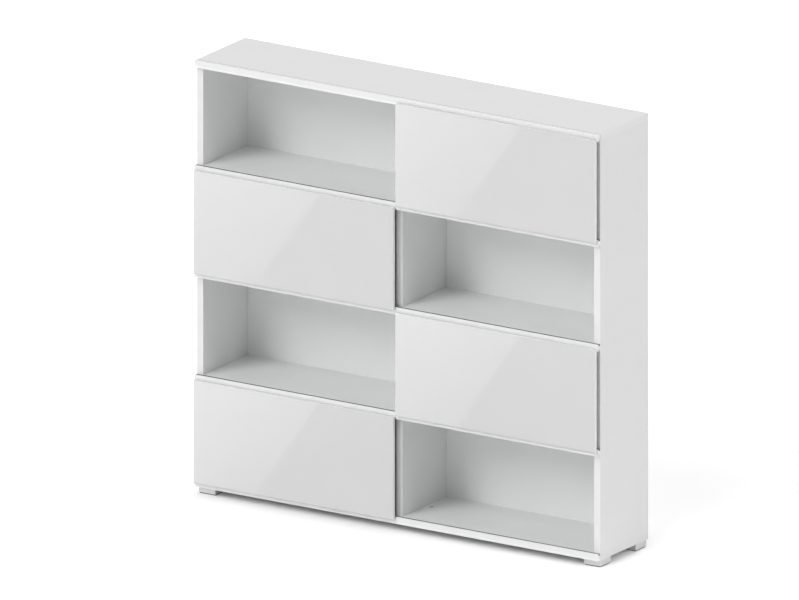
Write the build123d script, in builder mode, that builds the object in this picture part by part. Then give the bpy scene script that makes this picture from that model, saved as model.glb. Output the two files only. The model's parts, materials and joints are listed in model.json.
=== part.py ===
"""Office bookcase: two columns, four tiers, one sliding door on each tier. Millimetres, +Z up, front towards -Y.

The origin is on the floor, at the middle of the overall box. Each piece is its own solid, in its own file.
"""

from build123d import *
import os

os.makedirs("parts", exist_ok=True)

# carcass
width = 1600
board = 25
tiers = 4
clear_height = 340
side_depth = 296
divider_setback = 4
back_inset = 12
back_thickness = 8
back_groove_depth = 8
fit_gap = 0.2
edge_radius = 1
seam_chamfer = 0.8

# front rails and the grooves that the doors run in
rail_depth = 14
rail_lip = 3.5
rail_edge_radius = 2
groove_width = 8
roller_groove_depth = 5
guide_groove_depth = 7
track_wall = 0.8
track_fit = 0.05
tongue_length = 8
tongue_thickness = 5
tongue_end_gap = 8

# doors
door_gap = 1.5
door_thickness = 12
door_overlap = 10
door_inset = 4
fitting_inset = 70

# rollers and upper guides
wheel_radius = 8
wheel_width = 5
wheel_clearance = 0.3
axle_radius = 1.5
axle_fit = 0.05
bracket_length = 44
bracket_height = 30
bracket_depth = 14.2
running_gap = 1
pocket_gap = 0.7
cheek = 2
guide_length = 30
guide_height = 16
guide_depth = 12
guide_pin_radius = 3
guide_pin_reach = 5
stop_length = 30
stop_gap = 0.5

# feet
foot_side = 65
foot_height = 23
foot_inset = 4
foot_setback = 6
pad_height = 3
pad_inset = 2
centre_foot_x = 35
stud_radius = 5
stud_fit = 0.05
access_radius = 5.5
key_size = 5
key_depth = 8
cap_radius = 7.5
cap_thickness = 0.8
cap_stem_length = 4

# fixings
dowel_radius = 4
dowel_in_upright = 11
dowel_in_shelf = 15
dowel_in_board = 12
dowel_in_end = 24
dowel_places = (80, 148, 216)
shelf_dowel_places = (60, 216)
screw_radius = 1.75
screw_head_radius = 3.5
screw_head_height = 2.2
head_taper = 0.72
recess_length = 3.8
recess_width = 0.9
recess_depth = 1.2
back_screw_bite = 16
back_screw_places = (200, 590)
door_screw_bite = 9
bracket_screw_offset = 16
bracket_screw_height = 23
guide_screw_offset = 10
screw_seat = 6
foot_screw_radius = 2.25
foot_screw_head_radius = 4
foot_screw_head_height = 3
foot_screw_offset = 20
foot_screw_seat = 6
foot_screw_bite = 15

# worked out from the sizes above
pitch = clear_height + board
base_z = pad_height + foot_height
top_z = base_z + tiers * pitch + board
depth = side_depth + rail_depth + door_gap + door_thickness
half_width = width / 2
inner_x = half_width - board
rear_y = depth / 2
front_y = rear_y - side_depth
rail_front_y = front_y - rail_depth
groove_y = rail_front_y + rail_lip + groove_width / 2
door_back_y = rail_front_y - door_gap
back_y = rear_y - back_inset - back_thickness
divider_front_y = front_y + divider_setback
upright_z = (base_z + board, top_z - board)
door_width = half_width - 2 * door_inset
axle_rise = wheel_radius + wheel_clearance - roller_groove_depth
corner_x = half_width - foot_inset - foot_side / 2
foot_front_y = front_y + foot_setback + foot_side / 2
foot_rear_y = rear_y - foot_setback - foot_side / 2
corner_feet = [(x, y) for x in (-corner_x, corner_x) for y in (foot_front_y, foot_rear_y)]
centre_foot = (centre_foot_x, (foot_front_y + foot_rear_y) / 2)
all_feet = corner_feet + [centre_foot]

LEFT, RIGHT = -1, 1
FRONT, BACK, UP, DOWN = (0, -1, 0), (0, 1, 0), (0, 0, 1), (0, 0, -1)


def level(number):
    """Height of the underside of a horizontal: 0 is the bottom board, and tiers is the top board."""
    return base_z + number * pitch


def span(middle, length):
    """Low and high limits of a length centred on the middle."""
    return (middle - length / 2, middle + length / 2)


def mirrored(side, low, high):
    """Limits in X, measured outwards from the middle, on the left or right side."""
    return (low, high) if side == RIGHT else (-high, -low)


def block(x, y, z, mode=Mode.ADD):
    """A rectangular block between low and high limits, in the part being built."""
    with Locations(((x[0] + x[1]) / 2, (y[0] + y[1]) / 2, (z[0] + z[1]) / 2)):
        Box(x[1] - x[0], y[1] - y[0], z[1] - z[0], mode=mode)


def rod(point, direction, radius, length, mode=Mode.ADD):
    """A round rod from the point along the direction, in the part being built."""
    with Locations(Plane(origin=point, z_dir=direction)):
        Cylinder(radius, length, align=(Align.CENTER, Align.CENTER, Align.MIN), mode=mode)


def screw(seat, direction, radius, length, head_radius, head_height):
    """A cross-recessed screw: its shank runs from the seat along the direction, and its head stands behind."""
    rod(seat, direction, radius, length)
    backwards = tuple(-component for component in direction)
    base = (Align.CENTER, Align.CENTER, Align.MIN)
    with Locations(Plane(origin=seat, z_dir=backwards)):
        Cone(head_radius, head_radius * head_taper, head_height, align=base)
    crown = tuple(place + head_height * component for place, component in zip(seat, backwards))
    with Locations(Plane(origin=crown, z_dir=direction)):
        Box(recess_length, recess_width, recess_depth, align=base, mode=Mode.SUBTRACT)
        Box(recess_width, recess_length, recess_depth, align=base, mode=Mode.SUBTRACT)


def save(builder, name):
    """Labels the finished piece and writes it."""
    builder.part.label = name
    export_step(builder.part, f"parts/{name}.step")


# where the fixings go: each list is used for the fixing itself and for its holes
def board_dowels():
    """Seat height and inward direction of each dowel between an upright and the bottom or top board."""
    for x in (-half_width + board / 2, 0, half_width - board / 2):
        for place in dowel_places:
            yield (x, front_y + place, base_z + board), UP
            yield (x, front_y + place, top_z - board), DOWN


def shelf_dowels():
    """Point on the upright's face, and direction into the shelf, of each dowel at a shelf's end."""
    for number in range(1, tiers):
        for place in shelf_dowel_places:
            y, z = front_y + place, level(number) + board / 2
            for side in (LEFT, RIGHT):
                yield (side * inner_x, y, z), (-side, 0, 0)
                yield (side * board / 2, y, z), (side, 0, 0)


def back_screws(side):
    """Point on the back panel's rear face of each of its screws."""
    y = back_y + back_thickness
    for tier in range(tiers):
        yield (side * board / 4, y, level(tier) + board + clear_height / 2)
    for number in range(1, tiers):
        for place in back_screw_places:
            yield (side * place, y, level(number) + board / 2)


def foot_screws(foot):
    """Point under the seat of each screw of a foot."""
    for offset in (-foot_screw_offset, foot_screw_offset):
        yield (foot[0] + offset, foot[1], base_z - foot_screw_seat)


def cut_shelf_dowel_holes():
    """Blind holes, both ways from each shelf dowel's seat."""
    for point, inward in shelf_dowels():
        outward = tuple(-component for component in inward)
        rod(point, inward, dowel_radius, dowel_in_shelf, Mode.SUBTRACT)
        rod(point, outward, dowel_radius, dowel_in_upright, Mode.SUBTRACT)


def cut_board_dowel_holes():
    """Blind holes, both ways from each upright's dowel seat."""
    for point, inward in board_dowels():
        outward = tuple(-component for component in inward)
        rod(point, inward, dowel_radius, dowel_in_end, Mode.SUBTRACT)
        rod(point, outward, dowel_radius, dowel_in_board, Mode.SUBTRACT)


def cut_back_screw_holes(side):
    """Pilot holes of the screws through one back panel."""
    for point in back_screws(side):
        rod(point, FRONT, screw_radius, back_thickness + back_screw_bite, Mode.SUBTRACT)


def cut_back_groove(z):
    """The groove round the inside of the carcass that holds both back panels."""
    reach = inner_x + back_groove_depth + fit_gap
    y = (back_y - fit_gap, back_y + back_thickness + fit_gap)
    block((-reach, reach), y, z, Mode.SUBTRACT)


def cut_tongue_slot(x, z):
    """The slot in a board's front edge that takes a rail's tongue."""
    y = (front_y, front_y + tongue_length + 2 * fit_gap)
    block(x, y, span(z + board / 2, tongue_thickness + 2 * fit_gap), Mode.SUBTRACT)


def make_side_panel(name, side):
    """An end panel, standing between the bottom and top boards."""
    with BuildPart() as panel:
        block(mirrored(side, inner_x, half_width), (front_y, rear_y), upright_z)
        fillet(panel.edges().filter_by(Axis.Z), edge_radius)
        cut_back_groove(upright_z)
        cut_shelf_dowel_holes()
        cut_board_dowel_holes()
    save(panel, name)


def make_divider():
    """The upright between the two columns, set back from the sides' front edges."""
    with BuildPart() as divider:
        block((-board / 2, board / 2), (divider_front_y, back_y), upright_z)
        fillet(divider.edges().filter_by(Axis.Z).group_by(Axis.Y)[0], edge_radius)
        cut_shelf_dowel_holes()
        cut_board_dowel_holes()
        cut_back_screw_holes(LEFT)
        cut_back_screw_holes(RIGHT)
    save(divider, "centre_divider")


def make_top_board():
    """The top, over both sides. Its front upper edge is chamfered, so a fine seam shows at the rail."""
    z = top_z - board
    with BuildPart() as top:
        block((-half_width, half_width), (front_y, rear_y), (z, top_z))
        fillet(top.edges().filter_by(Axis.Z).group_by(Axis.Y)[-1], edge_radius)
        upper = top.edges().group_by(Axis.Z)[-1]
        chamfer(upper.group_by(Axis.Y)[0], seam_chamfer)
        outer = top.faces().sort_by(Axis.Z)[-1].edges().sort_by(Axis.Y)[1:]
        fillet(outer, edge_radius / 2)
        cut_tongue_slot(span(0, 2 * (inner_x - tongue_end_gap) + 2 * fit_gap), z)
        cut_back_groove((z, z + back_groove_depth + fit_gap))
        cut_board_dowel_holes()
    save(top, "top_board")


def make_bottom_board():
    """The bottom, under both sides, with an access hole over each levelling stud."""
    z = base_z + board
    with BuildPart() as bottom:
        block((-half_width, half_width), (front_y, rear_y), (base_z, z))
        fillet(bottom.edges().filter_by(Axis.Z).group_by(Axis.Y)[-1], edge_radius)
        outer = bottom.faces().sort_by(Axis.Z)[0].edges().sort_by(Axis.Y)[1:]
        fillet(outer, edge_radius)
        cut_tongue_slot(span(0, 2 * (inner_x - tongue_end_gap) + 2 * fit_gap), base_z)
        cut_back_groove((z - back_groove_depth - fit_gap, z))
        cut_board_dowel_holes()
        for foot in all_feet:
            rod((*foot, base_z), UP, access_radius, board, Mode.SUBTRACT)
            for point in foot_screws(foot):
                rod(point, UP, foot_screw_radius, foot_screw_seat + foot_screw_bite, Mode.SUBTRACT)
    save(bottom, "bottom_board")


def make_shelf(name, number, side):
    """One column's shelf at one level."""
    z = level(number)
    x = mirrored(side, board / 2, inner_x)
    with BuildPart() as shelf:
        block(x, (front_y, back_y), (z, z + board))
        cut_tongue_slot(x, z)
        cut_shelf_dowel_holes()
        cut_back_screw_holes(side)
    save(shelf, name)


def make_back_panel(name, side):
    """One column's back, held in the grooves and screwed to the divider and the shelves."""
    x = mirrored(side, fit_gap, inner_x + back_groove_depth)
    z = (upright_z[0] - back_groove_depth, upright_z[1] + back_groove_depth)
    with BuildPart() as back:
        block(x, (back_y, back_y + back_thickness), z)
        cut_back_screw_holes(side)
    save(back, name)


def make_rail(name, number):
    """A front rail. Its upper groove holds a roller track, and door guides run in its lower one."""
    z = level(number)
    track_depth = roller_groove_depth + track_wall + track_fit
    with BuildPart() as rail:
        with BuildSketch(Plane.YZ.offset(-half_width)) as profile:
            with Locations((front_y - rail_depth / 2, z + board / 2)):
                Rectangle(rail_depth, board)
            fillet(profile.vertices().group_by(Axis.X)[0], rail_edge_radius)
            if number == tiers:
                chamfer(profile.vertices().group_by(Axis.X)[-1].sort_by(Axis.Y)[-1], seam_chamfer)
            if number < tiers:
                with Locations((groove_y, z + board - track_depth / 2)):
                    Rectangle(groove_width, track_depth, mode=Mode.SUBTRACT)
            if number > 0:
                with Locations((groove_y, z + guide_groove_depth / 2)):
                    Rectangle(groove_width, guide_groove_depth, mode=Mode.SUBTRACT)
        extrude(amount=width)
        for side in (LEFT, RIGHT):
            x = mirrored(side, board / 2 + tongue_end_gap, inner_x - tongue_end_gap)
            block(x, (front_y, front_y + tongue_length), span(z + board / 2, tongue_thickness))
    save(rail, name)


def make_roller_tracks():
    """The channels that line the rails' upper grooves, which the wheels run in."""
    outer = groove_width - 2 * track_fit
    with BuildPart() as tracks:
        for tier in range(tiers):
            z = level(tier) + board
            x = (-half_width, half_width)
            block(x, span(groove_y, outer), (z - roller_groove_depth - track_wall, z))
            block(x, span(groove_y, outer - 2 * track_wall), (z - roller_groove_depth, z), Mode.SUBTRACT)
    save(tracks, "roller_tracks")


def make_rail_stops():
    """Plugs in the lower grooves. A door's guide pins meet them at both ends of its travel."""
    pin_x = half_width - door_inset - fitting_inset + guide_pin_radius
    y = span(groove_y, groove_width - 2 * fit_gap)
    with BuildPart() as stops:
        for tier in range(tiers):
            z = level(tier + 1)
            for side in (LEFT, RIGHT):
                x = mirrored(side, pin_x + stop_gap, pin_x + stop_gap + stop_length)
                block(x, y, (z, z + guide_groove_depth))
    save(stops, "rail_stops")


def make_dowels():
    """Every glued dowel of the carcass."""
    with BuildPart() as dowels:
        for point, inward in board_dowels():
            start = (point[0], point[1], point[2] - inward[2] * dowel_in_board)
            rod(start, inward, dowel_radius, dowel_in_board + dowel_in_end)
        for point, inward in shelf_dowels():
            start = (point[0] - inward[0] * dowel_in_upright, point[1], point[2])
            rod(start, inward, dowel_radius, dowel_in_upright + dowel_in_shelf)
    save(dowels, "dowels")


def make_back_panel_screws():
    """The screws that hold both back panels."""
    length = back_thickness + back_screw_bite
    with BuildPart() as screws:
        for side in (LEFT, RIGHT):
            for point in back_screws(side):
                screw(point, FRONT, screw_radius, length, screw_head_radius, screw_head_height)
    save(screws, "back_panel_screws")


def make_feet_blocks(name, feet):
    """Square block feet, each bored for its levelling stud and counterbored for its two screws."""
    bore = foot_screw_head_radius + fit_gap
    with BuildPart() as blocks:
        for foot in feet:
            block(span(foot[0], foot_side), span(foot[1], foot_side), (pad_height, base_z))
        fillet(blocks.edges().filter_by(Axis.Z), edge_radius)
        chamfer(blocks.edges().group_by(Axis.Z)[0], edge_radius / 2)
        for foot in feet:
            rod((*foot, pad_height), UP, stud_radius + stud_fit, foot_height, Mode.SUBTRACT)
            for point in foot_screws(foot):
                rod(point, UP, foot_screw_radius, foot_screw_seat, Mode.SUBTRACT)
                rod(point, DOWN, bore, foot_height - foot_screw_seat, Mode.SUBTRACT)
    save(blocks, name)


def make_glide(name, foot):
    """A levelling glide: a square sole with a stud that is turned from inside the cabinet by a hexagon key."""
    sole = foot_side - 2 * pad_inset
    stud_top = base_z + board - cap_stem_length - 2
    with BuildPart() as glide:
        block(span(foot[0], sole), span(foot[1], sole), (0, pad_height))
        fillet(glide.edges().filter_by(Axis.Z), edge_radius)
        rod((*foot, pad_height), UP, stud_radius, stud_top - pad_height)
        chamfer(glide.edges().group_by(Axis.Z)[-1], edge_radius / 2)
        with BuildSketch(Plane.XY.offset(stud_top)):
            with Locations(foot):
                RegularPolygon(key_size / 2, 6, major_radius=False)
        extrude(amount=-key_depth, mode=Mode.SUBTRACT)
    save(glide, name)


def make_foot_screws():
    """The screws that hold every foot to the bottom board."""
    length = foot_screw_seat + foot_screw_bite
    with BuildPart() as screws:
        for foot in all_feet:
            for point in foot_screws(foot):
                screw(point, UP, foot_screw_radius, length, foot_screw_head_radius, foot_screw_head_height)
    save(screws, "foot_screws")


def make_access_caps():
    """A thin cap over each stud's access hole."""
    z = base_z + board
    with BuildPart() as caps:
        for foot in all_feet:
            rod((*foot, z), DOWN, access_radius - stud_fit, cap_stem_length)
            rod((*foot, z), UP, cap_radius, cap_thickness)
    save(caps, "access_caps")


def door_span(side):
    """Limits in X of a door at rest on the left or right side."""
    return mirrored(side, door_inset, door_inset + door_width)


def fitting_places(side):
    """Where in X a door's two rollers are, with its two guides above them."""
    low, high = door_span(side)
    return (low + fitting_inset, high - fitting_inset)


def bracket_screws(x, floor):
    """Where a roller bracket's screws meet the door's back."""
    for offset in (-bracket_screw_offset, bracket_screw_offset):
        yield (x + offset, door_back_y, floor + bracket_screw_height)


def guide_screws(x, ceiling):
    """Where an upper guide's screws meet the door's back."""
    for offset in (-guide_screw_offset, guide_screw_offset):
        yield (x + offset, door_back_y, ceiling - running_gap - guide_height / 2)


def door_screw_places(tier, side):
    """Where every screw of one door meets its back."""
    for x in fitting_places(side):
        yield from bracket_screws(x, level(tier) + board)
        yield from guide_screws(x, level(tier + 1))


def cut_screw_seats(places, thickness):
    """Clearance holes through a fitting, counterbored from behind for the screws' heads."""
    for x, y, z in places:
        rod((x, y, z), BACK, screw_radius, thickness, Mode.SUBTRACT)
        seat = (x, y + screw_seat, z)
        rod(seat, BACK, screw_head_radius + fit_gap, thickness, Mode.SUBTRACT)


def make_door(name, tier, side):
    """A flat door that overlaps the rails below and above it."""
    z = (level(tier) + board - door_overlap, level(tier + 1) + door_overlap)
    with BuildPart() as door:
        block(door_span(side), (door_back_y - door_thickness, door_back_y), z)
        fillet(door.edges(), edge_radius)
        for point in door_screw_places(tier, side):
            rod(point, FRONT, screw_radius, door_screw_bite, Mode.SUBTRACT)
    save(door, name)


def make_roller_brackets(name, tier, side):
    """Two blocks behind the door's lower edge, each with a pocket that a wheel turns in."""
    floor = level(tier) + board
    y = (door_back_y, door_back_y + bracket_depth)
    pocket_y = span(groove_y, wheel_width + 2 * pocket_gap)
    pocket_reach = wheel_radius + 2 * pocket_gap
    with BuildPart() as brackets:
        for x in fitting_places(side):
            low = floor + running_gap
            block(span(x, bracket_length), y, (low, low + bracket_height))
        fillet(brackets.edges().filter_by(Axis.Y), 2 * edge_radius)
        for x in fitting_places(side):
            axle_z = floor + axle_rise
            block(span(x, 2 * pocket_reach), pocket_y, (floor, axle_z + pocket_reach), Mode.SUBTRACT)
            rod((x, pocket_y[0] - cheek, axle_z), BACK, axle_radius, bracket_depth, Mode.SUBTRACT)
            cut_screw_seats(bracket_screws(x, floor), bracket_depth)
    save(brackets, name)


def make_axles(name, tier, side):
    """The pins that one door's wheels turn on."""
    axle_z = level(tier) + board + axle_rise
    start = groove_y - wheel_width / 2 - pocket_gap - cheek
    with BuildPart() as axles:
        for x in fitting_places(side):
            rod((x, start, axle_z), BACK, axle_radius, door_back_y + bracket_depth - start)
    save(axles, name)


def make_wheel(name, tier, x):
    """A nylon wheel with a raised hub and a ring of round holes, so that its turning shows."""
    axle_z = level(tier) + board + axle_rise
    web = wheel_width / 2
    with BuildPart() as wheel:
        with BuildSketch(Plane.XZ.offset(-groove_y)):
            with Locations((x, axle_z)):
                Circle(wheel_radius)
                Circle(axle_radius + axle_fit, mode=Mode.SUBTRACT)
                with PolarLocations(wheel_radius / 2 + axle_radius / 2, 6):
                    Circle(axle_radius / 2, mode=Mode.SUBTRACT)
        extrude(amount=web, both=True)
        fillet(wheel.edges().filter_by(GeomType.CIRCLE).group_by(SortBy.RADIUS)[-1], edge_radius / 2)
    save(wheel, name)


def make_guides(name, tier, side):
    """Two blocks behind the door's upper edge, each with a pin that runs in the groove above."""
    ceiling = level(tier + 1)
    high = ceiling - running_gap
    y = (door_back_y, door_back_y + guide_depth)
    with BuildPart() as guides:
        for x in fitting_places(side):
            block(span(x, guide_length), y, (high - guide_height, high))
        fillet(guides.edges().filter_by(Axis.Y), 2 * edge_radius)
        for x in fitting_places(side):
            cut_screw_seats(guide_screws(x, ceiling), guide_depth)
            rod((x, groove_y, high), UP, guide_pin_radius, running_gap + guide_pin_reach)
    save(guides, name)


def make_door_screws(name, tier, side):
    """The screws of one door's brackets and guides."""
    length = screw_seat + door_screw_bite
    with BuildPart() as screws:
        for x, y, z in door_screw_places(tier, side):
            seat = (x, y + screw_seat, z)
            screw(seat, FRONT, screw_radius, length, screw_head_radius, screw_head_height)
    save(screws, name)


def make_carcass():
    """Everything that stands still."""
    make_divider()
    make_top_board()
    make_bottom_board()
    for side, hand in ((LEFT, "left"), (RIGHT, "right")):
        make_side_panel(f"side_panel_{hand}", side)
        make_back_panel(f"back_panel_{hand}", side)
        for number in range(1, tiers):
            make_shelf(f"shelf_{number}_{hand}", number, side)
    for number in range(tiers + 1):
        make_rail(f"rail_{number}", number)
    make_roller_tracks()
    make_rail_stops()
    make_dowels()
    make_back_panel_screws()


def make_feet():
    """Feet, levelling glides and what holds and covers them."""
    make_feet_blocks("feet_left", corner_feet[:2])
    make_feet_blocks("feet_right", corner_feet[2:])
    make_feet_blocks("foot_centre", [centre_foot])
    for name, foot in zip(("front_left", "rear_left", "front_right", "rear_right", "centre"), all_feet):
        make_glide(f"glide_{name}", foot)
    make_foot_screws()
    make_access_caps()


def make_doors():
    """A door for each tier, on alternate sides, counted from the bottom."""
    for tier in range(tiers):
        side = LEFT if tier % 2 == 0 else RIGHT
        name = f"door_{tier + 1}"
        make_door(name, tier, side)
        make_roller_brackets(f"{name}_roller_brackets", tier, side)
        make_axles(f"{name}_axles", tier, side)
        make_guides(f"{name}_guides", tier, side)
        make_door_screws(f"{name}_screws", tier, side)
        for hand, x in zip(("left", "right"), fitting_places(side)):
            make_wheel(f"{name}_wheel_{hand}", tier, x)


make_carcass()
make_feet()
make_doors()
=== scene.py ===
import json
import math

import bpy
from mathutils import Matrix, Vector


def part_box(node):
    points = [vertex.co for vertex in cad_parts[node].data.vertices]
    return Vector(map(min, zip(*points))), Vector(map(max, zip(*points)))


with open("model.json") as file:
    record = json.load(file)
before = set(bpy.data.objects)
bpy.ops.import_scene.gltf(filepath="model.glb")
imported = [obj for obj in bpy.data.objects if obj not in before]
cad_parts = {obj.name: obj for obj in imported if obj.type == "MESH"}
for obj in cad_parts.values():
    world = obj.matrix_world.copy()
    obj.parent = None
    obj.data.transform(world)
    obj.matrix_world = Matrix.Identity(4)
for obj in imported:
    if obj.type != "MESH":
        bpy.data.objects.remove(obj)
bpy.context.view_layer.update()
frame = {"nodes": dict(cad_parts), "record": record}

# The view: parallel projection, from the right of the front and a little above.
VIEW_AZIMUTH = math.radians(32.77)
VIEW_ELEVATION = math.radians(16.84)
VIEW_WIDTH = 2.6646
VIEW_SHIFT_RIGHT = -0.0696
VIEW_SHIFT_UP = 0.7362
CAMERA_DISTANCE = 8.0
CAMERA_REACH = 60.0

# Each light: azimuth, elevation and apparent width in degrees, and strength.
LIGHTS = {
    "key": (-25, 35, 25, 1.14),
    "high_front": (0, 55, 25, 0.59),
    "low_left": (-50, 15, 25, 0.18),
    "right": (90, 35, 25, 0.88),
    "rear": (180, 45, 25, 0.95),
}
WORLD_STRENGTH = 0.3
BACKDROP_STRENGTH = 1.0

# The floor, the glow that keeps it white, and how near to the cabinet the glow fades.
FLOOR_SIZE = 60.0
FLOOR_WHITE = 0.95
FLOOR_GLOW = 0.25
FLOOR_SHADE_REACH = 0.2

# The card in front of each door: its distance, how far it passes the door's left edge, where its slanting
# edge starts and ends, and its light. All but the distance are shares of the door.
REFLECTOR_GAP = 0.1
REFLECTOR_SPARE = 0.05
REFLECTOR_FOOT = 0.31
REFLECTOR_HEAD = 0.63
REFLECTOR_LEVEL = 0.68
REFLECTOR_FADE_RIGHT = 1.09
REFLECTOR_GAIN_UP = 0.58

# How white the boards are, the shelves and bottom board painted a darker white as painted shade,
# and the thickness, tone and glue line of their edging strips.
MELAMINE = 0.78
SHADED_SHELF_MELAMINE = 0.742
EDGING = 0.001
EDGING_GAIN = 1.03
SEAM = 0.00016
SEAM_SHADE = 0.72
SHARP = 0.00005

# The joint between the top rail and the top board, painted as a near-black line: a painted shadow in the
# joint.
JOINT_LINE = 0.0009
JOINT_SHADE = 0.12

# The doors; their upright and level edges, painted lighter than the face as painted light, the upright ones
# more; and a painted shade line along their feet.
DOORS = [f"door_{number}" for number in range(1, 5)]
DOOR_UPRIGHT_EDGE_LIGHT = 0.82
DOOR_LEVEL_EDGE_LIGHT = 0.71
EDGE_TURN = 0.5
DOOR_SHADE_LINE = 0.004
DOOR_SHADE_LINE_BLUR = 0.0005
DOOR_LINE_SHADE = 0.57

# The rails, and a painted highlight: a lighter band along their lower edge.
RAILS = [f"rail_{number}" for number in range(5)]
RAIL_HIGHLIGHT_BAND = 0.008
RAIL_HIGHLIGHT_BLUR = 0.001
RAIL_HIGHLIGHT_WHITE = 0.88

# Where most noise lies, and the faint unevenness of a pale surface's tone.
NOISE_LOW, NOISE_HIGH = 0.3, 0.7
FAINT = (0.2, 0.8)


def direction(azimuth, elevation):
    """The unit vector from the cabinet towards an azimuth, 0 at the front and growing to the right."""
    flat = math.cos(elevation)
    return Vector((math.sin(azimuth) * flat, -math.cos(azimuth) * flat, math.sin(elevation)))


def grey(value, warm=0.0):
    """A grey, or a little warmer than one."""
    return (value + warm, value, value - warm)


def cool(value):
    """The faintly green grey of the inner boards and backs."""
    return (value * 0.984, value, value * 0.996)


class Shader:
    """A new material whose Principled shader is fed by procedural nodes, in metres of the row frame."""

    def __init__(self, name, **values):
        self.material = bpy.data.materials.new(name)
        self.material.use_nodes = True
        self.tree = self.material.node_tree
        self.principled = self.tree.nodes["Principled BSDF"]
        self.coordinates = self.node("ShaderNodeTexCoord").outputs
        self.feed(self.principled, **values)

    def node(self, kind, **settings):
        """A node with its properties set."""
        made = self.tree.nodes.new(kind)
        for key, value in settings.items():
            setattr(made, key, value)
        return made

    def put(self, socket, value):
        """Links an output to an input, or sets a number or a colour there."""
        if isinstance(value, bpy.types.NodeSocket):
            self.tree.links.new(value, socket)
        else:
            socket.default_value = value

    def feed(self, node, **values):
        """Puts a value in each named input of a node."""
        for name, value in values.items():
            self.put(node.inputs[name.replace("_", " ")], value)
        return node

    def noise(self, size, detail=2.0, roughness=0.5, stretch=(1, 1, 1)):
        """Noise with features about size metres across, drawn out along an axis where stretch is over 1."""
        mapping = self.feed(self.node("ShaderNodeMapping"), Vector=self.coordinates["Object"])
        mapping.inputs["Scale"].default_value = [1 / s for s in stretch]
        texture = self.node("ShaderNodeTexNoise")
        self.feed(texture, Vector=mapping.outputs[0], Scale=1 / size, Detail=detail, Roughness=roughness)
        return texture.outputs["Fac"]

    def spread(self, noise, low, high):
        """Noise spread from low to high."""
        node = self.feed(self.node("ShaderNodeMapRange"), Value=noise)
        self.feed(node, From_Min=NOISE_LOW, From_Max=NOISE_HIGH, To_Min=low, To_Max=high)
        return node.outputs[0]

    def calculate(self, operation, *values):
        """One sum on outputs and numbers, kept between 0 and 1."""
        node = self.node("ShaderNodeMath", operation=operation, use_clamp=True)
        for socket, value in zip(node.inputs, values):
            self.put(socket, value)
        return node.outputs[0]

    def along(self, vector, axis):
        """One component of a vector."""
        return self.feed(self.node("ShaderNodeSeparateXYZ"), Vector=vector).outputs[axis]

    def within(self, axis, low, high, blur):
        """A factor that is 1 where a coordinate is between two places, with blurred ends."""
        centred = self.node("ShaderNodeMath", operation="SUBTRACT")
        self.put(centred.inputs[0], self.along(self.coordinates["Object"], axis))
        self.put(centred.inputs[1], (low + high) / 2)
        distance = self.node("ShaderNodeMath", operation="ABSOLUTE")
        self.put(distance.inputs[0], centred.outputs[0])
        half = (high - low) / 2
        node = self.node("ShaderNodeMapRange", interpolation_type="SMOOTHSTEP")
        return self.feed(node, Value=distance.outputs[0], From_Min=half + blur, From_Max=half).outputs[0]

    def bands(self, axis, places, blur):
        """A factor that is 1 between the two ends of any of the places."""
        total = 0.0
        for low, high in places:
            total = self.calculate("ADD", self.within(axis, low, high, blur), total)
        return total

    def facing(self, axis, least):
        """A factor that is 1 where the surface faces along an axis, either way, by at least that share."""
        size = self.calculate("ABSOLUTE", self.along(self.coordinates["Normal"], axis))
        return self.calculate("GREATER_THAN", size, least)

    def blend(self, factor, first, second):
        """A colour between two, each a colour or an output."""
        mix = self.node("ShaderNodeMix", data_type="RGBA")
        for socket, value in ((mix.inputs[6], first), (mix.inputs[7], second)):
            self.put(socket, value if isinstance(value, bpy.types.NodeSocket) else (*value, 1))
        self.put(mix.inputs[0], factor)
        return mix.outputs[2]

    def colour(self, output):
        """The base colour from an output."""
        self.feed(self.principled, Base_Color=output)

    def shade(self, factor, dark, light):
        """The base colour, between two."""
        self.colour(self.blend(factor, dark, light))

    def roughen(self, noise, low, high):
        """Roughness that varies between two values."""
        self.feed(self.principled, Roughness=self.spread(noise, low, high))

    def bump(self, *layers):
        """Bump from pairs of height factor and depth in metres, one on the other."""
        normal = None
        for height, depth in layers:
            node = self.feed(self.node("ShaderNodeBump"), Height=height, Distance=depth)
            if normal is not None:
                self.feed(node, Normal=normal)
            normal = node.outputs[0]
        self.feed(self.principled, Normal=normal)


def melamine(name, ends, white=MELAMINE, tone=grey, joint_shadow_front=None):
    """White melamine board: a pearl grain under a millimetre, on a slow waviness of the press.

    Each end carries an edging strip: its axis, where the board ends there, and which way the board lies
    from it. A board given joint_shadow_front has a near-black line painted there, against the rail: a painted
    shadow in the joint.
    """
    shader = Shader(name, Roughness=0.4, IOR=1.5)
    grain = shader.noise(0.0006, detail=3)
    cloud = shader.noise(0.12)
    board = shader.blend(shader.spread(cloud, *FAINT), tone(white * 0.99), tone(white * 1.01))
    seams = 0.0
    for axis, end, inwards in ends:
        seam = end + inwards * EDGING
        strip = shader.within(axis, *sorted((end - inwards * EDGING, seam)), blur=SHARP)
        board = shader.blend(strip, board, grey(white * EDGING_GAIN))
        line = shader.within(axis, seam - SEAM / 2, seam + SEAM / 2, blur=SEAM / 2)
        seams = shader.calculate("ADD", line, seams)
    board = shader.blend(seams, board, grey(white * SEAM_SHADE))
    if joint_shadow_front is not None:
        # A near-black line painted at the front, against the rail: painted shadow of the joint.
        joint = shader.within("Y", joint_shadow_front - JOINT_LINE, joint_shadow_front + JOINT_LINE, blur=SHARP)
        board = shader.blend(joint, board, grey(JOINT_SHADE))
    shader.colour(board)
    shader.roughen(grain, 0.36, 0.46)
    shader.bump((shader.noise(0.02), 0.00012), (grain, 0.000012), (seams, -0.00004))
    return shader.material


def back_laminate():
    """Thin white laminate, flatter and duller than the boards."""
    shader = Shader("back_white", Roughness=0.55, IOR=1.45)
    grain = shader.noise(0.0009, detail=2)
    shader.shade(shader.spread(shader.noise(0.2), *FAINT), cool(0.86), cool(0.875))
    shader.roughen(grain, 0.5, 0.6)
    shader.bump((grain, 0.00001))
    return shader.material


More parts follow.
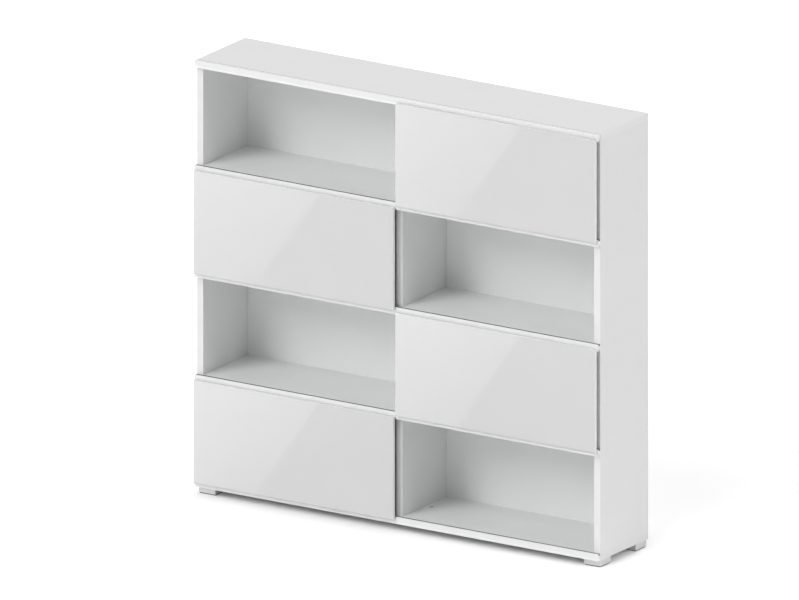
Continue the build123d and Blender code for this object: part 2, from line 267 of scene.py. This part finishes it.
def powder_coat():
    """Satin white powder coat on the rails with its fine orange peel, and a painted highlight along each
    rail's foot.
    """
    shader = Shader("rail_white", Roughness=0.35, IOR=1.5)
    peel = shader.noise(0.0016, detail=2)
    coat = shader.blend(shader.spread(shader.noise(0.08), *FAINT), grey(0.82), grey(0.83))
    # A lighter band painted along each rail's lower edge: painted highlight.
    feet = [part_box(rail)[0].z for rail in RAILS]
    bands = shader.bands("Z", [(foot - RAIL_HIGHLIGHT_BAND, foot + RAIL_HIGHLIGHT_BAND) for foot in feet], RAIL_HIGHLIGHT_BLUR)
    shader.colour(shader.blend(bands, coat, grey(RAIL_HIGHLIGHT_WHITE)))
    shader.roughen(peel, 0.3, 0.4)
    shader.bump((peel, 0.00003))
    return shader.material


def gloss_lacquer():
    """High gloss white lacquer: a clear coat over white, with a long, very shallow waviness.
    Its upright and level edges are painted lighter than the face, the upright ones more: painted light.
    A painted shade line runs along each door's foot.
    """
    shader = Shader("door_gloss", Roughness=0.3, Specular_IOR_Level=0.0)
    shader.feed(shader.principled, Coat_Weight=1.0, Coat_Roughness=0.01, Coat_IOR=1.8)
    face = shader.blend(shader.spread(shader.noise(0.3), *FAINT), grey(0.64), grey(0.648))
    feet = [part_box(door)[0].z for door in DOORS]
    # A darker band painted along each door's foot: painted shade.
    lines = shader.bands("Z", [(foot, foot + DOOR_SHADE_LINE) for foot in feet], DOOR_SHADE_LINE_BLUR)
    face = shader.blend(lines, face, grey(DOOR_LINE_SHADE))
    # The edges are painted lighter than the face, those facing sideways most: painted light.
    level = shader.blend(shader.facing("Z", EDGE_TURN), face, grey(DOOR_LEVEL_EDGE_LIGHT))
    shader.colour(shader.blend(shader.facing("X", EDGE_TURN), level, grey(DOOR_UPRIGHT_EDGE_LIGHT)))
    shader.roughen(shader.noise(0.004), 0.25, 0.35)
    shader.bump((shader.noise(0.03), 0.00002))
    return shader.material


def satin_aluminium():
    """Satin light grey of the feet, with faint lengthwise brushing."""
    shader = Shader("foot_satin", Metallic=0.6, Roughness=0.4, IOR=1.5)
    lines = shader.noise(0.0008, detail=4, stretch=(30, 30, 1))
    shader.shade(shader.spread(lines, 0, 1), grey(0.68), grey(0.75))
    shader.roughen(lines, 0.32, 0.46)
    shader.bump((lines, 0.00002))
    return shader.material


def moulded(name, value, warm=0.0):
    """Moulded plastic with a fine spark-eroded texture."""
    shader = Shader(name, Roughness=0.5, IOR=1.5)
    grain = shader.noise(0.0005, detail=3)
    dark, light = grey(value * 0.96, warm), grey(value * 1.04, warm)
    shader.shade(shader.spread(shader.noise(0.01), 0, 1), dark, light)
    shader.roughen(grain, 0.42, 0.6)
    shader.bump((grain, 0.00003))
    return shader.material


def zinc():
    """Bright zinc plate, faintly blue, with soft mottling."""
    shader = Shader("zinc_steel", Metallic=1.0, Roughness=0.3, IOR=1.5)
    mottle = shader.noise(0.0015, detail=3)
    shader.shade(shader.spread(mottle, 0, 1), (0.56, 0.57, 0.59), (0.68, 0.69, 0.71))
    shader.roughen(mottle, 0.22, 0.4)
    shader.bump((shader.noise(0.0004), 0.00001))
    return shader.material


def beech():
    """Plain beech dowel with its short flecks."""
    shader = Shader("beech_dowel", Roughness=0.6, IOR=1.45)
    grain = shader.noise(0.001, detail=4, stretch=(6, 1, 6))
    shader.shade(shader.spread(grain, 0, 1), (0.52, 0.35, 0.2), (0.68, 0.5, 0.32))
    shader.roughen(grain, 0.5, 0.7)
    shader.bump((grain, 0.00005))
    return shader.material


def slot_materials(front, rear):
    """One material for each slot in the record. Front and rear are the ends of the side panels."""
    return {
        "melamine_white": melamine("melamine_uprights", [front, rear]),
        "back_white": back_laminate(),
        "rail_white": powder_coat(),
        "door_gloss": gloss_lacquer(),
        "foot_satin": satin_aluminium(),
        "glide_dark": moulded("glide_dark", 0.03),
        "cap_grey": moulded("cap_grey", 0.45),
        "track_grey": moulded("track_grey", 0.12),
        "nylon_grey": moulded("nylon_grey", 0.3),
        "nylon_white": moulded("nylon_white", 0.7, 0.01),
        "zinc_steel": zinc(),
        "beech_dowel": beech(),
    }


def board_materials(nodes, front, rear):
    """The boards whose edging lies elsewhere than the side panels', or whose tone differs from theirs: the
    shelves and bottom board are painted a darker white as painted shade.
    """
    low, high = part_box("top_board")
    ends = [front, rear, ("X", low.x, 1), ("X", high.x, -1)]
    divider_front = ("Y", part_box("centre_divider")[0].y, 1)
    own = {
        # The bottom board is painted a darker white than the uprights: painted shade.
        "bottom_board": melamine("melamine_bottom", ends, SHADED_SHELF_MELAMINE, cool),
        "top_board": melamine("melamine_top", ends, joint_shadow_front=low.y),
        "centre_divider": melamine("melamine_divider", [divider_front], tone=cool),
    }
    # The shelves are painted a darker white than the uprights: painted shade.
    shelves = melamine("melamine_shelves", [front, rear], SHADED_SHELF_MELAMINE, cool)
    own.update({node: shelves for node in nodes if node.startswith("shelf")})
    return own


def paint_nodes():
    """Every CAD node takes its own board's material, or the one of its slot in the record."""
    low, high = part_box("top_board")
    front, rear = ("Y", low.y, 1), ("Y", high.y, -1)
    slots = {part["node"]: part["material_slot"] for part in frame["record"]["subparts"]}
    made = slot_materials(front, rear)
    own = board_materials(slots, front, rear)
    for name, slot in slots.items():
        node = frame["nodes"][name]
        node.data.materials.clear()
        node.data.materials.append(own.get(name, made[slot]))


def add_floor():
    """A plain white floor, faintly self-lit for the camera like a lit studio sweep, save near the cabinet."""
    half = FLOOR_SIZE / 2
    mesh = bpy.data.meshes.new("floor")
    corners = [(-half, -half, 0), (half, -half, 0), (half, half, 0), (-half, half, 0)]
    mesh.from_pydata(corners, [], [(0, 1, 2, 3)])
    floor = bpy.data.objects.new("floor", mesh)
    bpy.context.collection.objects.link(floor)
    shader = Shader("floor_white", Roughness=0.9, Base_Color=(*grey(FLOOR_WHITE), 1))
    shader.feed(shader.principled, Emission_Color=(1, 1, 1, 1))
    open_air = shader.feed(shader.node("ShaderNodeAmbientOcclusion"), Distance=FLOOR_SHADE_REACH)
    camera_ray = shader.node("ShaderNodeLightPath").outputs["Is Camera Ray"]
    seen = shader.calculate("MULTIPLY", camera_ray, FLOOR_GLOW)
    glow = shader.calculate("MULTIPLY", open_air.outputs["AO"], seen)
    shader.feed(shader.principled, Emission_Strength=glow)
    mesh.materials.append(shader.material)


def add_world():
    """An even white surround, brighter to the camera than as a light."""
    world = bpy.data.worlds.new("studio")
    world.use_nodes = True
    tree = world.node_tree
    background = tree.nodes["Background"]
    background.inputs["Color"].default_value = (1, 1, 1, 1)
    path = tree.nodes.new("ShaderNodeLightPath")
    level = tree.nodes.new("ShaderNodeMapRange")
    level.inputs["To Min"].default_value = WORLD_STRENGTH
    level.inputs["To Max"].default_value = BACKDROP_STRENGTH
    tree.links.new(path.outputs["Is Camera Ray"], level.inputs["Value"])
    tree.links.new(level.outputs[0], background.inputs["Strength"])
    bpy.context.scene.world = world


def add_light(name, azimuth, elevation, spread, strength):
    """A large, far softbox: even light from one direction, as wide as the spread in degrees."""
    towards = direction(math.radians(azimuth), math.radians(elevation))
    data = bpy.data.lights.new(name, "SUN")
    data.angle = math.radians(spread)
    data.energy = strength
    light = bpy.data.objects.new(name, data)
    light.rotation_mode = "QUATERNION"
    light.rotation_quaternion = towards.to_track_quat("Z", "Y")
    bpy.context.collection.objects.link(light)


def reflector_glow():
    """The cards' light, added to what is behind them: strongest at the upper left of a card."""
    material = bpy.data.materials.new("reflector_glow")
    material.use_nodes = True
    tree = material.node_tree
    tree.nodes.clear()
    place = tree.nodes.new("ShaderNodeUVMap")
    slope = tree.nodes.new("ShaderNodeVectorMath")
    slope.operation = "DOT_PRODUCT"
    slope.inputs[1].default_value = (-REFLECTOR_FADE_RIGHT, REFLECTOR_GAIN_UP, 0)
    level = tree.nodes.new("ShaderNodeMath")
    level.inputs[1].default_value = REFLECTOR_LEVEL
    glow = tree.nodes.new("ShaderNodeEmission")
    clear = tree.nodes.new("ShaderNodeBsdfTransparent")
    both = tree.nodes.new("ShaderNodeAddShader")
    output = tree.nodes.new("ShaderNodeOutputMaterial")
    tree.links.new(place.outputs[0], slope.inputs[0])
    tree.links.new(slope.outputs["Value"], level.inputs[0])
    tree.links.new(level.outputs[0], glow.inputs["Strength"])
    tree.links.new(glow.outputs[0], both.inputs[0])
    tree.links.new(clear.outputs[0], both.inputs[1])
    tree.links.new(both.outputs[0], output.inputs["Surface"])
    return material


def add_reflector(door, material):
    """A glowing card close in front of a door, seen only in gloss, that lays a slanting light across it."""
    low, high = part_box(door)
    width, height = high.x - low.x, high.z - low.z
    mirrored = -direction(VIEW_AZIMUTH, VIEW_ELEVATION)
    mirrored.y = -mirrored.y
    slide = mirrored * (REFLECTOR_GAP / -mirrored.y)
    corners = [(-REFLECTOR_SPARE, 0), (REFLECTOR_FOOT, 0), (REFLECTOR_HEAD, 1), (-REFLECTOR_SPARE, 1)]
    places = [Vector((low.x + u * width, low.y, low.z + w * height)) + slide for u, w in corners]
    mesh = bpy.data.meshes.new("reflector_" + door)
    mesh.from_pydata([tuple(place) for place in places], [], [(0, 1, 2, 3)])
    across = mesh.uv_layers.new(name="across")
    for loop, corner in zip(across.data, corners):
        loop.uv = corner
    mesh.materials.append(material)
    card = bpy.data.objects.new("reflector_" + door, mesh)
    card.visible_camera = False
    card.visible_diffuse = False
    card.visible_transmission = False
    card.visible_shadow = False
    bpy.context.collection.objects.link(card)


def add_camera():
    """Parallel camera at the view's angle."""
    turn = (-direction(VIEW_AZIMUTH, VIEW_ELEVATION)).to_track_quat("-Z", "Y")
    data = bpy.data.cameras.new("camera")
    data.type = "ORTHO"
    data.ortho_scale = VIEW_WIDTH
    data.clip_end = CAMERA_REACH
    camera = bpy.data.objects.new("camera", data)
    camera.rotation_mode = "QUATERNION"
    camera.rotation_quaternion = turn
    camera.location = turn @ Vector((VIEW_SHIFT_RIGHT, VIEW_SHIFT_UP, CAMERA_DISTANCE))
    bpy.context.collection.objects.link(camera)
    bpy.context.scene.camera = camera


def set_look():
    """Colours as they are, with no film curve."""
    view = bpy.context.scene.view_settings
    view.view_transform = "Standard"
    view.look = "None"


def add_stage():
    """The floor, the surround, the lights and the cards."""
    add_floor()
    add_world()
    for name, values in LIGHTS.items():
        add_light(name, *values)
    glow = reflector_glow()
    for door in DOORS:
        add_reflector(door, glow)


paint_nodes()
add_stage()
add_camera()
set_look()
